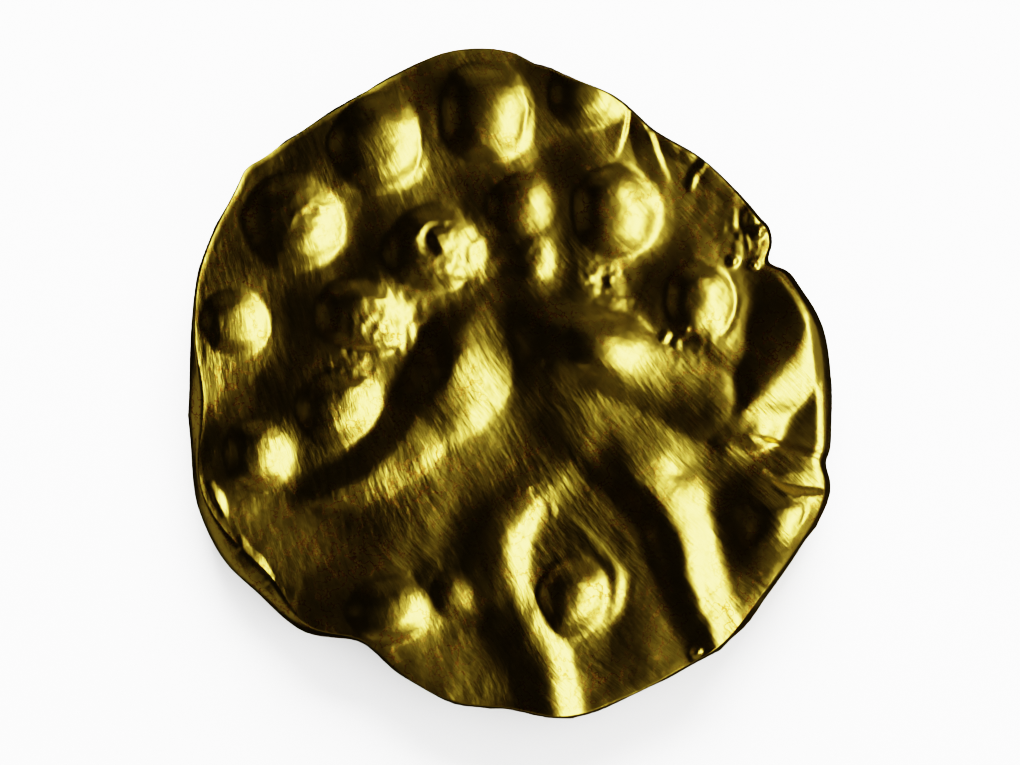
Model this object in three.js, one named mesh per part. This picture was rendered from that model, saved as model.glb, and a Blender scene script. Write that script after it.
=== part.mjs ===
// A small struck gold coin: an irregular, lumpy flan lying flat, pictured side up.
// Millimetres, +Z up. The origin is under the middle of the coin, on the plane it rests on.
import * as THREE from 'three';

// ---- the flan ----
const reverseFieldHeight = 0.1; // the reverse field stands this far above the resting plane
const obverseFieldHeight = 0.7; // the field of the pictured side
const radiusStep = 10; // degrees between the edge radii below
const edgeRadii = [
  3.62, 3.58, 3.42, 3.38, 3.35, 3.33, 3.28, 3.44, 3.53, 3.75, 3.81, 3.72,
  3.66, 3.69, 3.78, 3.76, 3.73, 3.65, 3.62, 3.67, 3.77, 3.8, 3.71, 3.65,
  3.38, 3.53, 3.67, 3.69, 3.84, 3.8, 3.78, 3.83, 3.78, 3.78, 3.82, 3.68,
];
// nicks (out < 0) and crumbs (out > 0) in the edge, degrees and millimetres
const edgeNicks = [
  { angle: 25, spread: 2.4, out: -0.17 },
  { angle: 31, spread: 2, out: 0.03 },
  { angle: 86, spread: 2.5, out: -0.05 },
  { angle: 141, spread: 2.6, out: 0.05 },
  { angle: 345.5, spread: 2.2, out: -0.07 },
];
// the struck face stops short of the outline by this much, and by more where the side swells
const faceMargin = 0.045;
const sideSwells = [
  { angle: 216, spread: 13, extra: 0.24 },
  { angle: 184, spread: 10, extra: 0.14 },
  { angle: 2, spread: 26, extra: 0.07 },
  { angle: 320, spread: 14, extra: 0.05 },
];
const reverseInset = 0.16;
const bevel = { width: 0.1, drop: 0.006, extra: 0.04, angle: 2, spread: 22 }; // widest on the right
const upturn = { width: 0.7, rise: 0.05, angle: 150, spread: 45 }; // the face turned up at the left edge

// ---- the pictured side ----
const limbBlend = 0.05; // how softly one limb runs into the next
const pelletBlend = 0.06; // fillet at the foot of a pellet
const pelletFullness = 2.4; // 2 is a parabola, more is flatter on top and steeper at the foot
const pelletLean = 0.13; // how far a pellet's top sits to the left, in half widths
// metal drawn up around a pellet: share of its height, reach in half widths, shift to the left
const skirt = { share: 0.4, reach: 1.65, shift: 0.3 };
const pellets = [
  { x: -1.44, y: 2.65, rx: 0.63, ry: 0.64, height: 0.27 },
  { x: -0.27, y: 3.02, rx: 0.63, ry: 0.65, height: 0.27 },
  { x: 0.84, y: 3.24, rx: 0.5, ry: 0.46, height: 0.22 },
  { x: -2.42, y: 1.78, rx: 0.64, ry: 0.64, height: 0.27 },
  { x: -0.86, y: 1.5, rx: 0.62, ry: 0.53, height: 0.24 },
  { x: 0.16, y: 2, rx: 0.46, ry: 0.42, height: 0.19 },
  { x: 0.28, y: 1.42, rx: 0.3, ry: 0.36, height: 0.13 },
  { x: 1.2, y: 1.92, rx: 0.54, ry: 0.58, height: 0.25 },
  { x: 2.14, y: 0.88, rx: 0.47, ry: 0.52, height: 0.22 },
  { x: -3.06, y: 0.66, rx: 0.42, ry: 0.46, height: 0.2 },
  { x: -1.64, y: 0.74, rx: 0.62, ry: 0.5, height: 0.25 },
  { x: -1.9, y: -0.29, rx: 0.56, ry: 0.48, height: 0.23 },
  { x: -2.8, y: -0.8, rx: 0.46, ry: 0.43, height: 0.2 },
  { x: -1.34, y: -2.53, rx: 0.56, ry: 0.41, height: 0.21 },
  { x: -0.62, y: -2.38, rx: 0.3, ry: 0.34, height: 0.15 },
  { x: 0.72, y: -2.41, rx: 0.46, ry: 0.51, height: 0.21 },
];
// limbs are ridges along a crest of [x, y, width to the left of the way it runs, to the right, height];
// foot and crown shape the section: 2 and 2 a bell, 1.4 and 1.2 a gable with a crisp foot
const hookedLimb = {
  foot: 1.35,
  crown: 1.15,
  crest: [
    [-0.42, 0.8, 0.5, 0.3, 0.02], [-0.54, 0.5, 0.76, 0.5, 0.13], [-0.68, 0.12, 0.86, 0.56, 0.25],
    [-0.96, -0.28, 0.76, 0.56, 0.135], [-1.26, -0.7, 0.64, 0.5, 0.125], [-1.62, -1.03, 0.5, 0.44, 0.14],
    [-1.96, -1.2, 0.34, 0.42, 0.12], [-2.3, -1.3, 0.2, 0.4, 0.06],
  ],
};
const upperLimb = {
  foot: 2.2,
  crown: 1.8,
  crest: [
    [0.86, 0.6, 0.5, 0.5, 0.02], [1.14, 0.42, 0.5, 0.66, 0.14], [1.6, 0.14, 0.5, 0.7, 0.17],
    [2, -0.12, 0.5, 0.6, 0.17], [2.4, -0.34, 0.5, 0.48, 0.18], [2.72, -0.5, 0.5, 0.32, 0.16],
  ],
};
const upperTail = {
  foot: 1.6,
  crown: 1.3,
  crest: [
    [3, 1.25, 0.06, 0.5, 0.06], [3.28, 0.84, 0.08, 0.66, 0.14], [3.24, 0.5, 0.3, 0.7, 0.18],
    [3.04, 0.14, 0.5, 0.6, 0.2], [2.82, -0.1, 0.55, 0.46, 0.2], [2.6, -0.3, 0.55, 0.3, 0.18],
    [2.42, -0.5, 0.5, 0.2, 0.12],
  ],
};
const shoulder = {
  foot: 3,
  crown: 1.6,
  crest: [
    [0.42, -0.36, 0.5, 0.3, 0.05], [0.72, -0.62, 0.7, 0.36, 0.08], [1.04, -0.86, 1, 0.36, 0.09],
    [1.36, -1.06, 1.1, 0.4, 0.1],
  ],
};
const foreleg = {
  foot: 1.4,
  crown: 1.2,
  crest: [
    [1.22, -0.96, 0.7, 0.36, 0.12], [1.36, -1.06, 0.78, 0.4, 0.18], [1.64, -1.3, 0.64, 0.44, 0.2],
    [1.82, -1.66, 0.52, 0.46, 0.2], [2, -2.12, 0.48, 0.44, 0.18], [2.12, -2.46, 0.46, 0.42, 0.17],
    [2.26, -2.9, 0.44, 0.4, 0.16], [2.42, -3.4, 0.4, 0.4, 0.13],
  ],
};
const loopStem = {
  foot: 2,
  crown: 2,
  crest: [
    [0.7, -0.86, 0.4, 0.6, 0.03], [0.31, -1.24, 0.4, 0.7, 0.07], [0.08, -1.47, 0.42, 0.74, 0.115],
    [-0.06, -1.72, 0.44, 0.76, 0.14], [-0.1, -2.08, 0.44, 0.72, 0.14], [-0.06, -2.4, 0.44, 0.64, 0.14],
    [0.17, -2.79, 0.44, 0.58, 0.14], [0.37, -3.18, 0.46, 0.56, 0.14], [0.5, -3.9, 0.46, 0.56, 0.13],
  ],
};
const loopReturn = {
  foot: 2,
  crown: 2,
  crest: [
    [0.57, -1.46, 0.1, 0.12, 0.02], [0.78, -1.64, 0.13, 0.14, 0.035], [0.97, -1.8, 0.15, 0.16, 0.045],
    [1.11, -1.98, 0.17, 0.18, 0.055], [1.17, -2.2, 0.18, 0.2, 0.065], [1.16, -2.46, 0.17, 0.2, 0.06],
    [1.02, -2.78, 0.14, 0.16, 0.02],
  ],
};
const limbs = [hookedLimb, upperLimb, upperTail, shoulder, foreleg, loopStem, loopReturn];
// low mounds and dips of the die: centre, half lengths, turn in degrees and height
const swells = [
  { x: -0.98, y: -0.8, long: 0.36, wide: 0.4, turn: 45, height: 0.035 },
  { x: 0.88, y: 0.42, long: 0.68, wide: 0.48, turn: -32, height: 0.235 }, // head of the upper limb
  { x: 0.85, y: 2.55, long: 0.3, wide: 0.22, turn: 0, height: 0.03 },
  { x: 0.5, y: -2.1, long: 0.45, wide: 0.6, turn: 0, height: -0.05 }, // bowl inside the loop
  { x: 3.5, y: 0, long: 0.3, wide: 0.7, turn: 0, height: 0.07 }, // field held up at the right edge
  { x: 0.7, y: 0.1, long: 0.35, wide: 0.5, turn: 0, height: 0.04 }, // where the limbs meet
  { x: 2.4, y: 0.22, long: 0.5, wide: 0.36, turn: -35, height: 0.09 },
  { x: 2.98, y: -1.56, long: 0.48, wide: 0.42, turn: 0, height: 0.28 }, // pellet at the right edge
  { x: 0.05, y: -0.75, long: 0.3, wide: 0.4, turn: 0, height: -0.03 },
  { x: -2.6, y: -1.4, long: 1, wide: 0.25, turn: -12, height: -0.05 },
  { x: 1.7, y: -2.95, long: 0.5, wide: 0.6, turn: 0, height: 0.05 },
  { x: 0.3, y: 0.32, long: 0.34, wide: 0.5, turn: 0, height: 0.075 },
];

// ---- the reverse: low and worn, its tops rubbed flat in the resting plane ----
const wornBar = {
  foot: 2,
  crown: 1.2,
  crest: [
    [-1.85, -0.35, 0.5, 0.5, 0.13], [-1, 0.5, 0.7, 0.7, 0.17], [0.2, 0.4, 0.75, 0.75, 0.18],
    [1.1, -0.35, 0.6, 0.6, 0.15], [1.75, -0.2, 0.45, 0.45, 0.13],
  ],
};
const wornPellets = { count: 7, ringRadius: 2.75, radius: 0.55, height: 0.16 };

// ---- fineness of the faceting ----
const gridCells = 44; // cells across each face
const sideRings = 4; // bands of facets down the side
const crestSteps = 6; // straight steps between two crest points
const crestRounding = 0.03; // keeps a crest from coming to a knife edge

const radians = THREE.MathUtils.degToRad;
const degrees = THREE.MathUtils.radToDeg;
const lerp = THREE.MathUtils.lerp;

// Catmull-Rom value between b and c, at t from 0 to 1
function curveThrough(a, b, c, d, t) {
  return b + 0.5 * t * (c - a + t * (2 * a - 5 * b + 4 * c - d + t * (3 * (b - c) + d - a)));
}

// difference between two angles in degrees, -180 to 180
function angleBetween(a, b) {
  return ((a - b + 540) % 360) - 180;
}

// distance from the centre to the coin's outline in one direction
function edgeRadius(angle) {
  const place = (((angle % 360) + 360) % 360) / radiusStep;
  const index = Math.floor(place);
  const at = (offset) => edgeRadii[(index + offset + edgeRadii.length) % edgeRadii.length];
  let radius = curveThrough(at(-1), at(0), at(1), at(2), place - index);
  for (const nick of edgeNicks) {
    radius += nick.out * Math.exp(-((angleBetween(angle, nick.angle) / nick.spread) ** 2));
  }
  return radius;
}

// 1 in one direction of the compass, dying away on either side of it
function lobe(angle, { angle: middle, spread }) {
  return Math.exp(-((angleBetween(angle, middle) / spread) ** 2));
}

// how far the struck face stops short of the outline
function faceInset(angle) {
  return sideSwells.reduce((inset, swell) => inset + swell.extra * lobe(angle, swell), faceMargin);
}

// the higher of two surfaces, with a fillet between them
function smoothMax(a, b, radius) {
  const share = THREE.MathUtils.clamp(0.5 + (0.5 * (a - b)) / radius, 0, 1);
  return lerp(b, a, share) + radius * share * (1 - share);
}

function pelletHeight(x, y, { x: cx, y: cy, rx, ry, height }) {
  const across = (x - cx) / rx;
  const up = (y - cy) / ry;
  const leaning = pelletLean * THREE.MathUtils.clamp(1 - across ** 2 - up ** 2, 0, 1);
  return Math.max(height * (1 - Math.hypot(across + leaning, up) ** pelletFullness), -height);
}

function skirtHeight(x, y, { x: cx, y: cy, rx, ry, height }) {
  const reach = Math.hypot((x - cx + skirt.shift * rx) / rx, (y - cy) / ry) / skirt.reach;
  return skirt.share * height * Math.max(1 - reach ** 2, 0) ** 2;
}

function swellHeight(x, y, { x: cx, y: cy, long, wide, turn, height }) {
  const cosine = Math.cos(radians(turn));
  const sine = Math.sin(radians(turn));
  const along = ((x - cx) * cosine + (y - cy) * sine) / long;
  const across = ((y - cy) * cosine - (x - cx) * sine) / wide;
  return height * Math.exp(-(along ** 2) - across ** 2);
}

// a limb with its crest turned into short straight steps
function steppedLimb({ foot, crown, crest }) {
  const points = [];
  const last = crest.length - 1;
  for (let i = 0; i < last; i += 1) {
    const around = [Math.max(i - 1, 0), i, i + 1, Math.min(i + 2, last)].map((k) => crest[k]);
    for (let step = 0; step < crestSteps; step += 1) {
      const t = step / crestSteps;
      points.push(crest[i].map((_, axis) => curveThrough(...around.map((point) => point[axis]), t)));
    }
  }
  points.push(crest[last]);
  return { foot, crown, points };
}

function limbHeight(x, y, { foot, crown, points }) {
  let best = 0;
  for (let i = 1; i < points.length; i += 1) {
    const [ax, ay, aLeft, aRight, aHeight] = points[i - 1];
    const [bx, by, bLeft, bRight, bHeight] = points[i];
    const [runX, runY] = [bx - ax, by - ay];
    const along = ((x - ax) * runX + (y - ay) * runY) / (runX ** 2 + runY ** 2);
    const t = THREE.MathUtils.clamp(along, 0, 1);
    const [offX, offY] = [x - ax - t * runX, y - ay - t * runY];
    const distance = Math.hypot(offX, offY, crestRounding);
    const side = (runX * offY - runY * offX) / (Math.hypot(runX, runY) * distance); // 1 is left
    const width = lerp(lerp(aRight, bRight, t), lerp(aLeft, bLeft, t), 0.5 + 0.5 * side);
    const reach = Math.min(distance / width, 1);
    best = Math.max(best, lerp(aHeight, bHeight, t) * (1 - reach ** foot) ** crown);
  }
  return best;
}

const steppedLimbs = limbs.map(steppedLimb);
const steppedBar = steppedLimb(wornBar);

// height of the pictured side above its field
function obverseRelief(x, y) {
  let height = 0;
  for (const limb of steppedLimbs) {
    height = smoothMax(limbHeight(x, y, limb), height, limbBlend);
  }
  for (const pellet of pellets) {
    height += skirtHeight(x, y, pellet);
  }
  for (const swell of swells) {
    height += swellHeight(x, y, swell);
  }
  for (const pellet of pellets) {
    height = smoothMax(pelletHeight(x, y, pellet), height, pelletBlend);
  }
  return height;
}

// depth of the reverse below its field
function reverseRelief(x, y) {
  let depth = limbHeight(x, y, steppedBar);
  for (let i = 0; i < wornPellets.count; i += 1) {
    const angle = radians((360 * i) / wornPellets.count);
    const pellet = {
      x: wornPellets.ringRadius * Math.cos(angle),
      y: wornPellets.ringRadius * Math.sin(angle),
      rx: wornPellets.radius,
      ry: wornPellets.radius,
      height: wornPellets.height,
    };
    depth = smoothMax(pelletHeight(x, y, pellet), depth, limbBlend);
  }
  return depth;
}

// a square grid of (u, v), -1 to 1, pulled out into a disc of radius 1
function discPoint(u, v) {
  return [u * Math.sqrt(1 - (v * v) / 2), v * Math.sqrt(1 - (u * u) / 2)];
}

// x, y of a grid point on a face that stops inset short of the outline
function facePoint(u, v, insetAt) {
  const [discX, discY] = discPoint(u, v);
  const angle = degrees(Math.atan2(discY, discX));
  const reach = Math.hypot(discX, discY) * (edgeRadius(angle) - insetAt(angle));
  return { angle, x: reach * Math.cos(radians(angle)), y: reach * Math.sin(radians(angle)), reach };
}

function obversePoint(u, v) {
  const { angle, x, y, reach } = facePoint(u, v, faceInset);
  const toEdge = edgeRadius(angle) - faceInset(angle) - reach;
  const bevelDrop = bevel.drop + bevel.extra * lobe(angle, bevel);
  const drop = bevelDrop * Math.max(1 - toEdge / bevel.width, 0) ** 1.5;
  const rise = upturn.rise * lobe(angle, upturn) * Math.max(1 - toEdge / upturn.width, 0) ** 2;
  return [x, y, obverseFieldHeight + obverseRelief(x, y) - drop + rise];
}

function reversePoint(u, v) {
  const { x, y } = facePoint(u, v, () => reverseInset);
  return [x, y, Math.max(reverseFieldHeight - reverseRelief(x, y), 0)];
}

// column and row of the grid points once around the rim of a face, counter-clockwise
function rimCells() {
  const steps = Array.from({ length: gridCells }, (_, step) => step);
  return [
    ...steps.map((step) => [step, 0]),
    ...steps.map((step) => [gridCells, step]),
    ...steps.map((step) => [gridCells - step, gridCells]),
    ...steps.map((step) => [0, gridCells - step]),
  ];
}

function coinGeometry() {
  const positions = [];
  const triangles = [];
  const rowLength = gridCells + 1;
  const faceSize = rowLength * rowLength;
  const addQuad = (a, b, c, d) => triangles.push(a, b, c, a, c, d);

  // the two faces
  for (const pointOn of [obversePoint, reversePoint]) {
    for (let row = 0; row < rowLength; row += 1) {
      for (let column = 0; column < rowLength; column += 1) {
        positions.push(...pointOn((2 * column) / gridCells - 1, (2 * row) / gridCells - 1));
      }
    }
  }
  for (let row = 0; row < gridCells; row += 1) {
    for (let column = 0; column < gridCells; column += 1) {
      const corner = row * rowLength + column;
      addQuad(corner, corner + 1, corner + rowLength + 1, corner + rowLength);
      const under = faceSize + corner;
      addQuad(under, under + rowLength, under + rowLength + 1, under + 1);
    }
  }

  // the side, swelling out from both faces to the outline
  const rim = rimCells();
  const bands = [rim.map(([column, row]) => row * rowLength + column)];
  for (let ring = 1; ring < sideRings; ring += 1) {
    const down = ring / sideRings;
    const swell = Math.sin(Math.PI * down);
    const band = [];
    rim.forEach(([column, row], place) => {
      const top = new THREE.Vector3().fromArray(positions, 3 * bands[0][place]);
      const bottom = new THREE.Vector3().fromArray(positions, 3 * (faceSize + bands[0][place]));
      const point = top.clone().lerp(bottom, down);
      const angle = degrees(Math.atan2(point.y, point.x));
      const outline = edgeRadius(angle);
      const straight = Math.hypot(point.x, point.y);
      const reach = lerp(straight, outline, swell);
      point.x *= reach / straight;
      point.y *= reach / straight;
      band.push(positions.length / 3);
      positions.push(point.x, point.y, point.z);
    });
    bands.push(band);
  }
  bands.push(bands[0].map((index) => faceSize + index));
  for (let ring = 0; ring < sideRings; ring += 1) {
    for (let place = 0; place < rim.length; place += 1) {
      const next = (place + 1) % rim.length;
      addQuad(bands[ring][place], bands[ring + 1][place], bands[ring + 1][next], bands[ring][next]);
    }
  }

  const geometry = new THREE.BufferGeometry();
  geometry.setAttribute('position', new THREE.Float32BufferAttribute(positions, 3));
  geometry.setIndex(triangles);
  geometry.computeVertexNormals();
  return geometry;
}

const gold = new THREE.MeshStandardMaterial({ color: '#d8a935', roughness: 0.25, metalness: 1 });
const coin = new THREE.Mesh(coinGeometry(), gold);
coin.name = 'coin';

const group = new THREE.Group();
group.add(coin);

export default group;
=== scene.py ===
import math

import bpy
import numpy as np
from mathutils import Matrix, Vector


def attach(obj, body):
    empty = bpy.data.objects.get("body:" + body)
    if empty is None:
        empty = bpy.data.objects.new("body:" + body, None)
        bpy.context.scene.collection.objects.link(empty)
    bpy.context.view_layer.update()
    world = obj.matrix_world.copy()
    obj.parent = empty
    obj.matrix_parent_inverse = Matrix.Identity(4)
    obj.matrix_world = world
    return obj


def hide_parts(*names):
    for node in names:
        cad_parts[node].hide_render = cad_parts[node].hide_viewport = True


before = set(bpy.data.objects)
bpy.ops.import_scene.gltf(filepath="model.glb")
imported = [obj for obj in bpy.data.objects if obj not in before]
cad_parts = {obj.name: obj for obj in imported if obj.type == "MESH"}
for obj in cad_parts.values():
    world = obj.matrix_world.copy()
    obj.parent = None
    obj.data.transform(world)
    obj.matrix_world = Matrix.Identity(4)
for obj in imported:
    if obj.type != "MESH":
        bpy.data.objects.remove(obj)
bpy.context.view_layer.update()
mm = 0.001

latticeSide = 64
lattice = np.random.default_rng(11).uniform(-1, 1, (latticeSide, latticeSide))


def softNoise(x, y, size):  # smooth ups and downs, about one per size millimetres
    gx, gy = x / size + 20.3, y / size + 20.7
    ix, iy = np.floor(gx).astype(int), np.floor(gy).astype(int)
    fx, fy = [f * f * f * (f * (f * 6 - 15) + 10) for f in (gx - ix, gy - iy)]

    def at(a, b):
        return lattice[(ix + a) % latticeSide, (iy + b) % latticeSide]

    low = at(0, 0) * (1 - fx) + at(1, 0) * fx
    high = at(0, 1) * (1 - fx) + at(1, 1) * fx
    return low * (1 - fy) + high * fy


def smoothMax(a, b, radius):  # the higher of two surfaces with a fillet between them
    share = np.clip(0.5 + 0.5 * (a - b) / radius, 0, 1)
    return b + (a - b) * share + radius * share * (1 - share)


def curveThrough(a, b, c, d, t):  # Catmull-Rom between b and c
    return b + 0.5 * t * (c - a + t * (2 * a - 5 * b + 4 * c - d + t * (3 * (b - c) + d - a)))


def smoothLine(points, steps):
    pts = np.array(points, float)
    pts = np.vstack([2 * pts[0] - pts[1], pts, 2 * pts[-1] - pts[-2]])
    spans = range(1, len(pts) - 2)
    line = [curveThrough(*pts[i - 1:i + 3], k / steps) for i in spans for k in range(steps)]
    return np.array(line + [pts[-2]])


def angleBetween(a, b):
    return (a - b + 180) % 360 - 180


def bell(angle, middle, spread):  # 1 at the middle angle, dying away on both sides of it
    return np.exp(-(angleBetween(angle, middle) / spread) ** 2)


flan = {
    "step": 10,  # degrees between the edge radii
    "radii": [3.62, 3.58, 3.42, 3.38, 3.35, 3.33, 3.28, 3.44, 3.53, 3.75, 3.81, 3.72,
              3.66, 3.69, 3.78, 3.76, 3.73, 3.65, 3.62, 3.67, 3.77, 3.8, 3.71, 3.65,
              3.38, 3.53, 3.67, 3.69, 3.84, 3.8, 3.78, 3.83, 3.78, 3.78, 3.82, 3.68],
    # nicks (out < 0) and crumbs (out > 0): degrees, spread in degrees, millimetres out
    "nicks": [(25, 2.4, -0.17), (31, 2, 0.03), (86, 2.5, -0.05), (141, 2.6, 0.05), (345.5, 2.2, -0.07)],
    # how far the face stops short of the outline everywhere, and how much more at degrees, spread
    "inset": 0.045,
    "insets": [(216, 13, 0.24), (184, 10, 0.14), (2, 26, 0.07), (320, 14, 0.05)],
    # a bevel runs around the face and is deepest on the right: drop, width, then extra drop and its place
    "lipDrop": 0.006,
    "lipWidth": 0.1,
    "rightLip": {"angle": 2, "spread": 22, "drop": 0.04},
    # the face turns up a little towards the edge on the left
    "dish": {"angle": 150, "spread": 45, "rise": 0.075, "width": 0.7},
    # and a thin burr stands up right at that edge
    "burr": {"angle": 150, "spread": 60, "rise": 0.016, "width": 0.075},
    "obverseField": 0.7,
    "reverseField": 0.1,
    "reverseInset": 0.16,
    "sideDents": 0.03,  # millimetres in
}


def edgeRadius(angle):
    radii = np.array(flan["radii"])
    place = (angle % 360) / flan["step"]
    index = np.floor(place).astype(int)
    around = [radii[(index + k) % len(radii)] for k in (-1, 0, 1, 2)]
    radius = curveThrough(*around, place - index)
    for at, spread, out in flan["nicks"]:
        radius = radius + out * bell(angle, at, spread)
    return radius


def faceInset(angle):
    inset = flan["inset"]
    for at, spread, extra in flan["insets"]:
        inset = inset + extra * bell(angle, at, spread)
    return inset


def edgeDrop(angle, toEdge):  # the bevel down at the edge of the face, less where the face turns up
    right = flan["rightLip"]
    deepest = flan["lipDrop"] + right["drop"] * bell(angle, right["angle"], right["spread"])
    drop = deepest * np.clip(1 - toEdge / flan["lipWidth"], 0, 1) ** 1.5
    for turned in (flan["dish"], flan["burr"]):
        rise = turned["rise"] * bell(angle, turned["angle"], turned["spread"])
        drop = drop - rise * np.clip(1 - toEdge / turned["width"], 0, 1) ** 2
    return drop


pellets = {
    "fillet": 0.06,
    "fullness": 2.4,  # 2 is a parabola, more is flatter on top and steeper at the foot
    "lean": 0.13,  # how far the top of a pellet sits to the left, a share of the half width
    "skirt": 0.4,  # the metal drawn up around each pellet, a share of its height
    "skirtReach": 1.65,
    "skirtShift": -0.3,  # how far the skirt sits to the left, a share of the half width
    # x, y, half widths rx and ry, height
    "domes": [
        (-1.44, 2.65, 0.63, 0.64, 0.27), (-0.27, 3.02, 0.63, 0.65, 0.27), (0.84, 3.24, 0.5, 0.46, 0.22),
        (-2.42, 1.78, 0.64, 0.64, 0.27), (-0.86, 1.50, 0.62, 0.53, 0.24), (0.16, 2.0, 0.46, 0.42, 0.19),
        (0.28, 1.42, 0.3, 0.36, 0.13), (1.2, 1.92, 0.54, 0.58, 0.25), (2.14, 0.88, 0.47, 0.52, 0.22),
        (-3.06, 0.66, 0.42, 0.46, 0.2), (-1.64, 0.74, 0.62, 0.5, 0.25), (-1.9, -0.29, 0.56, 0.48, 0.23),
        (-2.8, -0.80, 0.46, 0.43, 0.2), (-1.34, -2.53, 0.56, 0.41, 0.21), (-0.62, -2.38, 0.3, 0.34, 0.15),
        (0.72, -2.41, 0.46, 0.51, 0.21),
    ],
}
# limbs: crest points x, y, width to the left of the way it runs, width to the right, height;
# section (2, 2) is a bell, (1.4, 1) a gable with a crisp foot, (4, 2) flat on top
limbFillet = 0.05
crestSteps = 10  # straight steps between two crest points
crestRounding = 0.03  # keeps a crest from coming to a knife edge
limbs = {
    "hooked": {"section": (1.35, 1.15), "crest": [
        (-0.42, 0.8, 0.5, 0.3, 0.02), (-0.54, 0.5, 0.76, 0.5, 0.13), (-0.68, 0.12, 0.86, 0.56, 0.25),
        (-0.96, -0.28, 0.76, 0.56, 0.135), (-1.26, -0.7, 0.64, 0.5, 0.125), (-1.62, -1.03, 0.5, 0.44, 0.14),
        (-1.96, -1.2, 0.34, 0.42, 0.12), (-2.3, -1.3, 0.2, 0.4, 0.06)]},
    "upper": {"section": (2.2, 1.8), "crest": [
        (0.86, 0.6, 0.5, 0.5, 0.02), (1.14, 0.42, 0.5, 0.66, 0.14), (1.6, 0.14, 0.5, 0.7, 0.17),
        (2.0, -0.12, 0.5, 0.6, 0.17), (2.4, -0.34, 0.5, 0.48, 0.18), (2.72, -0.5, 0.5, 0.32, 0.16)]},
    "upperTail": {"section": (1.6, 1.3), "crest": [
        (3.0, 1.25, 0.06, 0.5, 0.06), (3.28, 0.84, 0.08, 0.66, 0.14), (3.24, 0.5, 0.3, 0.7, 0.18),
        (3.04, 0.14, 0.5, 0.6, 0.2), (2.82, -0.1, 0.55, 0.46, 0.2), (2.6, -0.3, 0.55, 0.3, 0.18),
        (2.42, -0.5, 0.5, 0.2, 0.12)]},
    "shoulder": {"section": (3, 1.6), "crest": [
        (0.42, -0.36, 0.5, 0.3, 0.05), (0.72, -0.62, 0.7, 0.36, 0.08), (1.04, -0.86, 1.0, 0.36, 0.09),
        (1.36, -1.06, 1.1, 0.4, 0.1)]},
    "foreleg": {"section": (1.4, 1.2), "crest": [
        (1.22, -0.96, 0.7, 0.36, 0.12), (1.36, -1.06, 0.78, 0.4, 0.18), (1.64, -1.3, 0.64, 0.44, 0.2),
        (1.82, -1.66, 0.52, 0.46, 0.2), (2.0, -2.12, 0.48, 0.44, 0.18), (2.12, -2.46, 0.46, 0.42, 0.17),
        (2.26, -2.9, 0.44, 0.4, 0.16), (2.42, -3.4, 0.4, 0.4, 0.13)]},
    "loopStem": {"section": (2, 2), "crest": [
        (0.7, -0.86, 0.4, 0.6, 0.03), (0.31, -1.24, 0.4, 0.7, 0.07), (0.08, -1.47, 0.42, 0.74, 0.115),
        (-0.06, -1.72, 0.44, 0.76, 0.14), (-0.1, -2.08, 0.44, 0.72, 0.14), (-0.06, -2.4, 0.44, 0.64, 0.14),
        (0.17, -2.79, 0.44, 0.58, 0.14), (0.37, -3.18, 0.46, 0.56, 0.14), (0.5, -3.9, 0.46, 0.56, 0.13)]},
    "loopReturn": {"section": (2, 2), "crest": [
        (0.57, -1.46, 0.1, 0.12, 0.02), (0.78, -1.64, 0.13, 0.14, 0.035), (0.97, -1.8, 0.15, 0.16, 0.045),
        (1.11, -1.98, 0.17, 0.18, 0.055), (1.17, -2.2, 0.18, 0.2, 0.065), (1.16, -2.46, 0.17, 0.2, 0.06),
        (1.02, -2.78, 0.14, 0.16, 0.02)]},
}
# swells: low mounds and dips that shade the rest; x, y, half lengths, turn in degrees, height
swells = [
    (-0.98, -0.8, 0.36, 0.4, 45, 0.035),
    (0.88, 0.42, 0.68, 0.48, -32, 0.235),  # head of the upper limb
    (0.85, 2.55, 0.3, 0.22, 0, 0.03),
    (0.5, -2.1, 0.45, 0.6, 0, -0.05),  # bowl inside the loop
    (3.5, 0.0, 0.3, 0.7, 0, 0.07),  # the field held up towards the right edge
    (0.7, 0.1, 0.35, 0.5, 0, 0.04),  # where the limbs meet
    (2.4, 0.22, 0.5, 0.36, -35, 0.09),
    (2.98, -1.56, 0.48, 0.42, 0, 0.28),  # the pellet at the right edge
    (1.88, -0.97, 0.19, 0.12, -15, -0.03),  # pit at the top of the foreleg
    (0.05, -0.75, 0.3, 0.4, 0, -0.03),
    (-2.6, -1.4, 1.0, 0.25, -12, -0.05),
    (1.7, -2.95, 0.5, 0.6, 0, 0.05),
    (0.3, 0.32, 0.34, 0.5, 0, 0.075),
]
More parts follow.
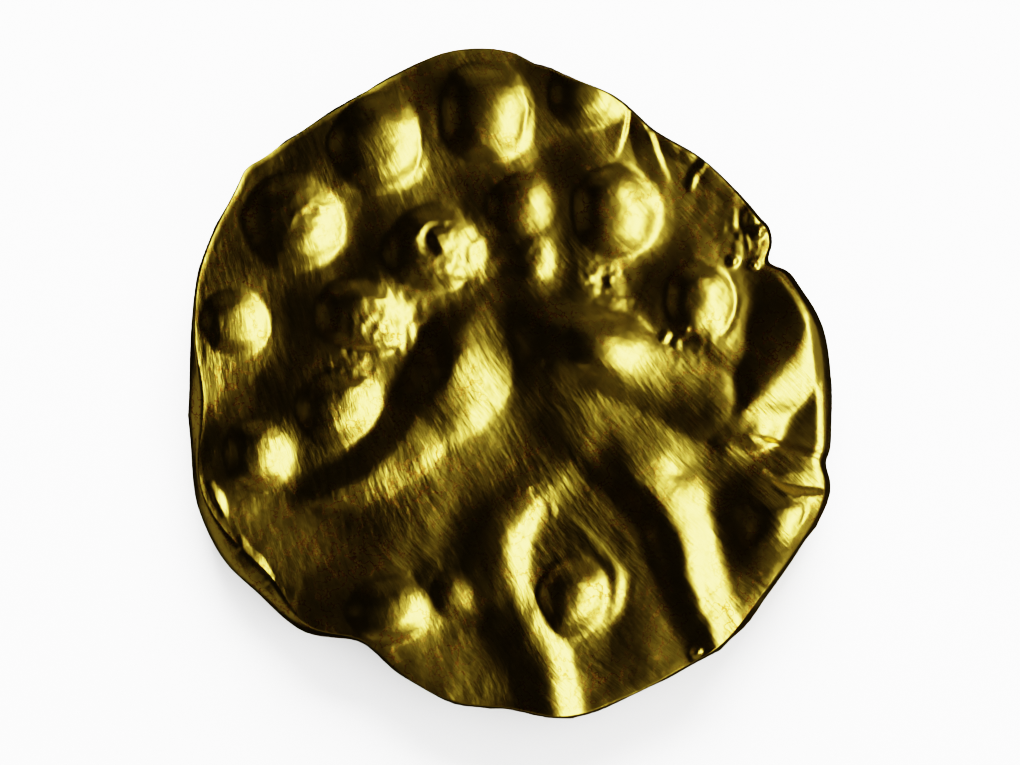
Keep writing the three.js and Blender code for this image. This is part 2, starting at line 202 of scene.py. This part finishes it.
# marks: folds, cracks and scratches; crest points x, y, width left, width right, height up
markSection = (1.4, 1.2)
marks = {
    "rimFold": [
        (1.3, 3.1, 0.06, 0.22, 0.02), (1.25, 2.85, 0.06, 0.24, 0.03), (1.17, 2.6, 0.05, 0.16, 0.01)],
    "upperFold": [
        (1.48, 2.98, 0.06, 0.2, 0.02), (1.6, 2.74, 0.06, 0.26, 0.03), (1.68, 2.52, 0.06, 0.22, 0.025),
        (1.77, 2.33, 0.05, 0.12, 0.01)],
    "upperFold2": [
        (1.66, 2.8, 0.05, 0.14, 0.015), (1.84, 2.68, 0.06, 0.16, 0.03), (2.02, 2.54, 0.05, 0.12, 0.02)],
    "edgeFold": [
        (2.02, 2.56, 0.07, 0.12, 0.02), (2.2, 2.46, 0.07, 0.16, 0.035), (2.4, 2.28, 0.06, 0.2, 0.03),
        (2.62, 2.04, 0.06, 0.14, 0.02)],
    "patchFold": [
        (2.18, 2.44, 0.06, 0.08, 0.02), (2.08, 2.3, 0.07, 0.1, 0.03), (2.04, 2.16, 0.05, 0.08, 0.01)],
    "slit": [
        (2.74, -0.56, 0.05, 0.05, -0.02), (3.1, -0.72, 0.06, 0.06, -0.07),
        (3.46, -0.85, 0.05, 0.05, -0.04)],
    "wedge": [
        (2.9, -0.98, 0.05, 0.05, -0.02), (3.1, -1.13, 0.12, 0.1, -0.05), (3.34, -1.2, 0.2, 0.1, -0.06),
        (3.7, -1.22, 0.26, 0.1, -0.06)],
    "wedgeLip": [
        (2.92, -1.04, 0.04, 0.04, 0.02), (3.04, -1.18, 0.06, 0.05, 0.05), (3.18, -1.32, 0.04, 0.04, 0.02)],
    "pelletSplit": [
        (3.28, -1.3, 0.04, 0.04, -0.03), (3.3, -1.5, 0.04, 0.04, -0.05), (3.22, -1.66, 0.03, 0.03, -0.01)],
    "leftCrease": [
        (-3.38, -1.16, 0.08, 0.04, 0.02), (-3.31, -1.35, 0.12, 0.04, 0.045),
        (-3.22, -1.52, 0.08, 0.04, 0.02)],
    "lowerCrease": [
        (-3.02, -1.78, 0.08, 0.04, 0.02), (-2.87, -2.0, 0.12, 0.04, 0.045), (-2.7, -2.2, 0.08, 0.04, 0.02)],
    "loopScratch": [
        (0.62, -1.46, 0.04, 0.04, 0.01), (0.8, -1.62, 0.05, 0.04, 0.02), (1.02, -1.8, 0.04, 0.04, 0.01)],
    "lowerScratch": [
        (1.28, -2.0, 0.03, 0.03, 0.008), (1.46, -2.1, 0.03, 0.03, 0.012), (1.68, -2.22, 0.03, 0.03, 0.006)],
    "loopRays": [
        (0.4, -1.24, 0.04, 0.04, 0.01), (0.5, -1.4, 0.05, 0.05, 0.03), (0.52, -1.56, 0.04, 0.04, 0.01)],
    "pelletDent": [
        (-0.72, 1.72, 0.08, 0.08, -0.02), (-0.88, 1.7, 0.1, 0.1, -0.05), (-0.94, 1.58, 0.1, 0.1, -0.05),
        (-0.84, 1.46, 0.08, 0.08, -0.02)],
}
# rim lines pressed around the right of a pellet; x, y, half widths, from and to in degrees, width, depth
rimLines = [
    (2.14, 0.88, 0.41, 0.46, -75, 65, 0.04, 0.02), (-1.44, 2.65, 0.46, 0.52, -60, 40, 0.035, 0.014),
    (-3.06, 0.66, 0.36, 0.44, -60, 60, 0.035, 0.014), (-2.42, 1.78, 0.53, 0.56, -50, 45, 0.03, 0.01),
    (-0.27, 3.02, 0.45, 0.55, -55, 40, 0.03, 0.012),
]
# crumbs: small bumps; x, y, radius, height
crumbs = [
    (2.7, 1.84, 0.1, 0.06), (2.76, 1.68, 0.08, 0.05), (2.86, 1.74, 0.06, 0.05), (2.52, 1.36, 0.06, 0.04),
    (2.74, 1.3, 0.05, 0.04), (2.06, -3.03, 0.06, 0.05), (2.26, -3.1, 0.1, 0.05),
    (1.74, 0.5, 0.05, 0.03), (1.86, 0.42, 0.05, 0.03), (1.98, 0.56, 0.04, 0.03), (0.36, 0.22, 0.03, 0.02),
]
# wrinkled skin: x, y, radius, depth
wrinkles = [
    (-2.2, 1.76, 0.34, 0.008), (-0.6, 1.42, 0.38, 0.012), (-1.36, 0.7, 0.42, 0.012),
    (-1.76, 0.08, 0.3, 0.008), (0.34, 1.36, 0.2, 0.01), (1.05, 1.12, 0.26, 0.016), (1.5, 0.8, 0.2, 0.006),
    (1.95, 0.44, 0.2, 0.009), (2.66, 1.7, 0.3, 0.014), (-1.2, 2.5, 0.25, 0.004), (-2.7, -0.7, 0.25, 0.004),
    (0.3, -1.3, 0.25, 0.008),
]
# wear pulls the shapes about and leaves the metal uneven; millimetres
wear = {"pull": 0.045, "finePull": 0.016, "uneven": 0.018, "fineUneven": 0.006}


def dome(x, y, spot):
    cx, cy, rx, ry, height = spot
    u, v = (x - cx) / rx, (y - cy) / ry
    u = u + pellets["lean"] * np.clip(1 - u * u - v * v, 0, 1)
    return np.maximum(height * (1 - np.hypot(u, v) ** pellets["fullness"]), -height)


def skirt(x, y, spot):
    cx, cy, rx, ry, height = spot
    cx = cx + pellets["skirtShift"] * rx
    reach = (((x - cx) / rx) ** 2 + ((y - cy) / ry) ** 2) / pellets["skirtReach"] ** 2
    return pellets["skirt"] * height * np.clip(1 - reach, 0, 1) ** 2


def limbHeight(x, y, limb):
    line = smoothLine(limb["crest"], crestSteps)
    foot, crown = limb["section"]
    best = np.zeros_like(x)
    for a, b in zip(line[:-1], line[1:]):
        run = b[:2] - a[:2]
        t = np.clip(((x - a[0]) * run[0] + (y - a[1]) * run[1]) / (run @ run), 0, 1)
        offX, offY = x - a[0] - t * run[0], y - a[1] - t * run[1]
        distance = np.hypot(offX, offY)
        across = (run[0] * offY - run[1] * offX) / (np.sqrt(run @ run) * np.maximum(distance, 1e-6))
        side = np.clip(across, -1, 1)  # 1 is fully to the left, -1 to the right
        left, right, height = [a[k] + (b[k] - a[k]) * t for k in (2, 3, 4)]
        width = left + (right - left) * (0.5 - 0.5 * side)
        reach = np.clip(np.sqrt(distance ** 2 + crestRounding ** 2) / width, 0, 1)
        best = np.maximum(best, height * (1 - reach ** foot) ** crown)
    return best


def swell(x, y, mound):
    cx, cy, long, wide, turn, height = mound
    c, s = math.cos(math.radians(turn)), math.sin(math.radians(turn))
    u, v = (x - cx) * c + (y - cy) * s, (y - cy) * c - (x - cx) * s
    return height * np.exp(-(u / long) ** 2 - (v / wide) ** 2)


def wrinkle(x, y, patch):  # sharp little folds that die away from the middle of the patch
    cx, cy, radius, depth = patch
    folds = 1 - 2 * np.abs(softNoise(x + 4, y - 2, 0.13)) + 0.5 * softNoise(x - 6, y + 3, 0.06)
    return depth * folds * np.exp(-((x - cx) ** 2 + (y - cy) ** 2) / radius ** 2)


def rimLine(x, y, line):
    cx, cy, rx, ry, start, end, width, depth = line
    off = (np.hypot((x - cx) / rx, (y - cy) / ry) - 1) * rx / width
    turn = angleBetween(np.degrees(np.arctan2(y - cy, x - cx)), (start + end) / 2) * 2 / (end - start)
    return -depth * np.exp(-off ** 2) * np.clip(1 - turn ** 2, 0, 1)


def obverseRelief(x, y):
    wx = x + wear["pull"] * softNoise(x, y, 0.6) + wear["finePull"] * softNoise(x, y, 0.22)
    wy = y + wear["pull"] * softNoise(x + 9, y - 5, 0.6) + wear["finePull"] * softNoise(x - 7, y, 0.22)
    height = np.zeros_like(x)
    for limb in limbs.values():
        height = smoothMax(limbHeight(wx, wy, limb), height, limbFillet)
    for spot in pellets["domes"]:
        height = height + skirt(wx, wy, spot)
    for mound in swells:
        height = height + swell(wx, wy, mound)
    for spot in pellets["domes"]:
        height = smoothMax(dome(wx, wy, spot), height, pellets["fillet"])
    for crest in marks.values():
        rise = 1 if sum(point[4] for point in crest) > 0 else -1
        mark = {"section": markSection, "crest": [(*point[:4], rise * point[4]) for point in crest]}
        height = height + rise * limbHeight(wx, wy, mark)
    for line in rimLines:
        height = height + rimLine(wx, wy, line)
    for cx, cy, radius, rise in crumbs:
        height = height + rise * np.exp(-(((wx - cx) ** 2 + (wy - cy) ** 2) / radius ** 2) ** 1.5)
    for patch in wrinkles:
        height = height + wrinkle(x, y, patch)
    return height + wear["uneven"] * softNoise(x, y, 0.9) + wear["fineUneven"] * softNoise(x + 3, y + 8, 0.35)


reverse = {
    "bar": {"section": (2, 1.2), "crest": [
        (-1.85, -0.35, 0.5, 0.5, 0.13), (-1, 0.5, 0.7, 0.7, 0.17), (0.2, 0.4, 0.75, 0.75, 0.18),
        (1.1, -0.35, 0.6, 0.6, 0.15), (1.75, -0.2, 0.45, 0.45, 0.13)]},
    "pull": 0.12,  # how far wear has pulled the shapes about
    "uneven": 0.02,
    "pellets": 7,
    "ring": 2.75,
    "radius": 0.55,
    "height": 0.16,
}


def reverseRelief(x, y):
    x, y = x + reverse["pull"] * softNoise(x, y, 0.9), y + reverse["pull"] * softNoise(x + 9, y - 5, 0.9)
    depth = limbHeight(x, y, reverse["bar"]) + reverse["uneven"] * softNoise(x - 4, y + 6, 0.7)
    for k in range(reverse["pellets"]):
        turn = 2 * math.pi * k / reverse["pellets"]
        spot = (reverse["ring"] * math.cos(turn), reverse["ring"] * math.sin(turn),
                reverse["radius"], reverse["radius"], reverse["height"])
        depth = smoothMax(dome(x, y, spot), depth, limbFillet)
    return depth


fineness = {
    "obverseCells": 256,
    "reverseCells": 128,  # half as many, so that the two rims can be joined
    "sideRings": 12,
    "crowding": 0.15,  # how much closer the cells lie at the edge
}


def faceGrid(cells, inset):  # a square grid pulled out into the shape of the face
    u, v = np.meshgrid(np.linspace(-1, 1, cells + 1), np.linspace(-1, 1, cells + 1))
    discX, discY = u * np.sqrt(1 - v * v / 2), v * np.sqrt(1 - u * u / 2)
    angle = np.degrees(np.arctan2(discY, discX)).ravel()
    reach = np.hypot(discX, discY).ravel()
    reach = reach * (1 + fineness["crowding"] - fineness["crowding"] * reach ** 2)
    border = edgeRadius(angle) - inset(angle)
    turn = np.radians(angle)
    return reach * border * np.cos(turn), reach * border * np.sin(turn), border * (1 - reach)


def rimIndices(cells):
    steps = range(cells)
    rim = [(i, 0) for i in steps] + [(cells, i) for i in steps]
    rim += [(cells - i, cells) for i in steps] + [(0, cells - i) for i in steps]
    return np.array([row * (cells + 1) + column for column, row in rim])


def gridQuads(cells, first, flip):
    row, column = np.divmod(np.arange(cells * cells), cells)
    corner = first + row * (cells + 1) + column
    quads = np.stack([corner, corner + 1, corner + cells + 2, corner + cells + 1], 1)
    return quads[:, ::-1] if flip else quads


def sideRing(upper, lower, down):  # a ring of the side, down goes from 0 at the top rim to 1
    points = upper + (lower - upper) * down
    straight = np.hypot(points[:, 0], points[:, 1])
    outline = edgeRadius(np.degrees(np.arctan2(points[:, 1], points[:, 0])))
    rough = softNoise(points[:, 0] + points[:, 1], points[:, 2] * 2 - points[:, 0], 0.8)
    dents = flan["sideDents"] * np.abs(rough)
    reach = straight + (outline - straight - dents) * math.sin(math.pi * down)
    points[:, :2] *= (reach / straight)[:, None]
    return points


def closingFaces(last, lowerRim):  # joins the last ring to the reverse, which has half as many points
    faces = []
    for k, (here, there) in enumerate(zip(lowerRim, np.roll(lowerRim, -1))):
        first, middle, third = last[2 * k], last[2 * k + 1], last[(2 * k + 2) % len(last)]
        faces += [[first, here, middle], [here, there, middle], [middle, there, third]]
    return faces


def buildCoin():
    top, bottom, rings = fineness["obverseCells"], fineness["reverseCells"], fineness["sideRings"]
    x, y, toEdge = faceGrid(top, faceInset)
    height = flan["obverseField"] + obverseRelief(x, y) - edgeDrop(np.degrees(np.arctan2(y, x)), toEdge)
    obverse = np.stack([x, y, height], 1)
    x, y, toEdge = faceGrid(bottom, lambda angle: flan["reverseInset"] + 0 * angle)
    back = np.stack([x, y, np.maximum(flan["reverseField"] - reverseRelief(x, y), 0)], 1)
    parts = [obverse, back]
    count = len(obverse) + len(back)

    upperRim = rimIndices(top)
    upper = obverse[upperRim]
    rimPoints = back[rimIndices(bottom)]
    lower = np.empty_like(upper)
    lower[0::2] = rimPoints
    lower[1::2] = (rimPoints + np.roll(rimPoints, -1, 0)) / 2
    bands = [upperRim]
    for ring in range(1, rings + 1):
        parts.append(sideRing(upper, lower, ring / (rings + 1)))
        bands.append(np.arange(count, count + len(upper)))
        count += len(upper)

    faces = [list(quad) for quad in gridQuads(top, 0, False)]
    faces += [list(quad) for quad in gridQuads(bottom, len(obverse), True)]
    for a, b in zip(bands[:-1], bands[1:]):
        faces += [list(quad) for quad in np.stack([a, b, np.roll(b, -1), np.roll(a, -1)], 1)]
    faces += closingFaces(bands[-1], rimIndices(bottom) + len(obverse))

    mesh = bpy.data.meshes.new("struckFlan")
    mesh.from_pydata((np.vstack(parts) * mm).tolist(), [], [[int(i) for i in face] for face in faces])
    mesh.polygons.foreach_set("use_smooth", [True] * len(mesh.polygons))
    mesh.update()
    coin = bpy.data.objects.new("struckFlan", mesh)
    bpy.context.collection.objects.link(coin)
    return coin


class Link:  # a shader socket that can be added, subtracted and multiplied
    tree = None

    def __init__(self, socket):
        self.socket = socket

    @classmethod
    def node(cls, kind, settings=None, **inputs):  # _0 is the first socket, From_Min the one called From Min
        made = cls.tree.nodes.new(kind)
        for name, value in (settings or {}).items():
            setattr(made, name, value)
        for name, value in inputs.items():
            key = int(name[1:]) if name[0] == "_" else name.replace("_", " ")
            cls.put(made.inputs[key], value)
        return made

    @classmethod
    def put(cls, socket, value):
        if isinstance(value, Link):
            cls.tree.links.new(value.socket, socket)
        else:
            socket.default_value = value

    @classmethod
    def math(cls, operation, *values):
        numbered = {f"_{k}": value for k, value in enumerate(values)}
        return Link(cls.node("ShaderNodeMath", {"operation": operation}, **numbered).outputs[0])

    def __add__(self, other):
        return Link.math("ADD", self, other)

    def __radd__(self, other):
        return Link.math("ADD", other, self)

    def __sub__(self, other):
        return Link.math("SUBTRACT", self, other)

    def __rsub__(self, other):
        return Link.math("SUBTRACT", other, self)

    def __mul__(self, other):
        return Link.math("MULTIPLY", self, other)

    def __rmul__(self, other):
        return Link.math("MULTIPLY", other, self)


goldLook = {
    "colour": (1.0, 0.755, 0.15, 1),
    "toned": (0.62, 0.27, 0.04, 1),  # thin reddish toning along the cracks
    "roughness": 0.284,  # below about 0.275 the flow lines vanish in patches once denoised
    "tonedRoughness": 0.12,  # more where it is toned
    "streaks": 0.00001,  # metres of relief in the flow lines
    "hammering": 0.000012,  # metres of relief in the fine unevenness
    "upperStreaks": 0.45,  # the upper half is smoother, a share of the lower half's flow lines
    "crackWidth": 0.03,  # how far from its middle the noise still counts as crack
    "toningMost": 0.8,
}


def goldMaterial():
    material = bpy.data.materials.new("struckGold")
    material.use_nodes = True
    Link.tree = material.node_tree
    shader = material.node_tree.nodes["Principled BSDF"]
    shader.inputs["Metallic"].default_value = 1

    place = Link(Link.node("ShaderNodeTexCoord").outputs["Object"])
    split = Link.node("ShaderNodeSeparateXYZ", Vector=place)
    x, y, z = [Link(split.outputs[axis]) * 1000 for axis in "XYZ"]

    def noise(scale, detail, roughness, where=place):
        return Link(Link.node("ShaderNodeTexNoise", Vector=where, Scale=scale, Detail=detail,
                              Roughness=roughness).outputs["Fac"])

    def fade(value, start, end, before, after):
        return Link(Link.node("ShaderNodeMapRange", {"interpolation_type": "SMOOTHSTEP"}, Value=value,
                              From_Min=start, From_Max=end, To_Min=before, To_Max=after).outputs[0])

    # flow lines fan out from the left of the coin: across them runs fan, along them y
    fan = (x + 4.2) * Link.math("EXPONENT", y * 0.15) + noise(900.0, 1, 0.5) * 0.3
    flow = Link(Link.node("ShaderNodeCombineXYZ", X=fan * 13, Y=y * 3.2, Z=z * 3).outputs[0])
    streaks = noise(1.0, 4, 0.6, flow)
    patchy = noise(1100.0, 2, 0.5)
    upper = fade(y + x * 0.2, -0.6, 1.4, 1.0, goldLook["upperStreaks"])
    relief = streaks * upper * (patchy * 2.4 - 0.3) * goldLook["streaks"]
    relief = relief + noise(4200.0, 2, 0.5) * goldLook["hammering"]
    bump = Link.node("ShaderNodeBump", Height=relief * 1000, Distance=0.001, Strength=1.0)
    Link.put(shader.inputs["Normal"], Link(bump.outputs[0]))

    # cracks: where a broad noise crosses its middle there is a thin line
    crack = Link.math("ABSOLUTE", noise(5200.0, 3, 0.6) - 0.5)
    line = fade(crack, 0.0, goldLook["crackWidth"], 1.0, 0.0)
    toned = line * (noise(1700.0, 1, 0.5) * 3 - 1.0)
    toned = Link.math("MINIMUM", Link.math("MAXIMUM", toned, 0), goldLook["toningMost"])
    mix = Link.node("ShaderNodeMix", {"data_type": "RGBA"}, Factor=toned)
    colours = [socket for socket in mix.inputs if socket.type == "RGBA"]
    colours[0].default_value = goldLook["colour"]
    colours[1].default_value = goldLook["toned"]
    outcome = [socket for socket in mix.outputs if socket.type == "RGBA"][0]
    Link.put(shader.inputs["Base Color"], Link(outcome))
    Link.put(shader.inputs["Roughness"], goldLook["roughness"] + toned * goldLook["tonedRoughness"])
    return material


coin = buildCoin()
coin.data.materials.append(goldMaterial())
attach(coin, "root")
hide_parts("coin")
print("coin made,", len(coin.data.polygons), "faces")

studio = {
    "target": (0, 0, 0.7),
    # the softbox on the right is brightest in its middle and dies away in two steps
    "softboxes": [
        {"azimuth": -8, "zenith": 38, "distance": 108, "size": (150, 220), "radiance": 0.052},
        {"azimuth": -8, "zenith": 43.5, "distance": 102, "size": (76, 190), "radiance": 0.25},
        {"azimuth": -8, "zenith": 43.5, "distance": 96, "size": (44, 120), "radiance": 3.6},
    ],
    # these two light only the floor: one lays the soft shadow, the other washes it out
    "shadowLight": {"azimuth": 84, "zenith": 64, "distance": 130, "size": (100, 100), "radiance": 56},
    "floorLight": {"azimuth": 90, "zenith": 0, "distance": 110, "size": (300, 300), "radiance": 2.0},
    # low cards all round put some light on the coin's side when it is looked at from low down
    "lowCards": [
        {"azimuth": azimuth, "zenith": 81, "distance": 100, "size": (30, 150), "radiance": radiance}
        for azimuth, radiance in ((0, 0.16), (90, 0.16), (180, 0.1), (270, 0.16))] + [
        {"azimuth": azimuth, "zenith": 60, "distance": 104, "size": (56, 70), "radiance": radiance}
        for azimuth, radiance in ((90, 0.05), (180, 0.035), (270, 0.04))],
    "world": 0.002,  # very dim and warm
    "worldColour": (1, 0.35, 0.1, 1),
    "floorGrey": 0.9,
    "floorHalf": 0.4,  # metres
    # reflections see a darker floor that starts a little way out from the coin; millimetres
    "reflectedGrey": 0.025,
    "reflectedInner": 4.4,
    "reflectedLift": 0.02,
    "frameWidth": 11.4,  # millimetres across the view at the coin
    "focus": 0.8,  # height of that width above the floor
    "lens": 180,
    "sensor": 36,
}


def softbox(name, setting, glossy=True, diffuse=True):
    light = bpy.data.lights.new(name, "AREA")
    light.shape = "RECTANGLE"
    light.size, light.size_y = [side * mm for side in setting["size"]]
    light.energy = setting["radiance"] * math.pi * light.size * light.size_y
    lamp = bpy.data.objects.new(name, light)
    turn, lean = math.radians(setting["azimuth"]), math.radians(setting["zenith"])
    way = Vector((math.cos(turn) * math.sin(lean), math.sin(turn) * math.sin(lean), math.cos(lean)))
    lamp.location = (Vector(studio["target"]) + way * setting["distance"]) * mm
    lamp.rotation_euler = (0, lean, turn)
    lamp.visible_camera = False
    lamp.visible_glossy = glossy
    lamp.visible_diffuse = diffuse
    bpy.context.collection.objects.link(lamp)
    return lamp


for count, setting in enumerate(studio["softboxes"]):
    softbox(f"softbox{count}", setting)
for count, setting in enumerate(studio["lowCards"]):
    softbox(f"lowCard{count}", setting, diffuse=False)
softbox("shadowSoftbox", studio["shadowLight"], glossy=False)
softbox("floorSoftbox", studio["floorLight"], glossy=False)
print("lights made,", len(bpy.data.lights))

world = bpy.data.worlds.new("studio")
world.use_nodes = True
world.node_tree.nodes["Background"].inputs["Color"].default_value = studio["worldColour"]
world.node_tree.nodes["Background"].inputs["Strength"].default_value = studio["world"]
bpy.context.scene.world = world


def flatSheet(name, points, faces, grey, materialName):
    mesh = bpy.data.meshes.new(name)
    mesh.from_pydata(points, [], faces)
    sheet = bpy.data.objects.new(name, mesh)
    bpy.context.collection.objects.link(sheet)
    matt = bpy.data.materials.new(materialName)
    matt.use_nodes = True
    shader = matt.node_tree.nodes["Principled BSDF"]
    shader.inputs["Base Color"].default_value = (grey, grey, grey, 1)
    shader.inputs["Roughness"].default_value = 1
    shader.inputs["Specular IOR Level"].default_value = 0
    mesh.materials.append(matt)
    return sheet


half = studio["floorHalf"]
corners = [(-half, -half, 0), (half, -half, 0), (half, half, 0), (-half, half, 0)]
floor = flatSheet("floor", corners, [(0, 1, 2, 3)], studio["floorGrey"], "paleFloor")
floor.visible_glossy = False

sides = 64
rim = [(math.cos(math.tau * k / sides), math.sin(math.tau * k / sides)) for k in range(sides)]
points = [(x * r, y * r, 0) for r in (studio["reflectedInner"] * mm, half) for x, y in rim]
quads = [(k, sides + k, sides + (k + 1) % sides, (k + 1) % sides) for k in range(sides)]
card = flatSheet("reflectedFloor", points, quads, studio["reflectedGrey"], "reflectedFloor")
card.location.z = studio["reflectedLift"] * mm
card.visible_camera = card.visible_diffuse = card.visible_shadow = False
print("floor laid")

camera = bpy.data.cameras.new("camera")
camera.lens = studio["lens"]
camera.sensor_width = studio["sensor"]
camera.clip_start = 0.001
camera.clip_end = 10
cameraObject = bpy.data.objects.new("camera", camera)
rise = studio["focus"] + studio["frameWidth"] * camera.lens / camera.sensor_width
cameraObject.location = (0, 0, rise * mm)
bpy.context.collection.objects.link(cameraObject)
bpy.context.scene.camera = cameraObject
print("camera set")

view = bpy.context.scene.view_settings
view.view_transform = "Filmic"
view.look = "Very High Contrast"

bpy.context.view_layer.update()
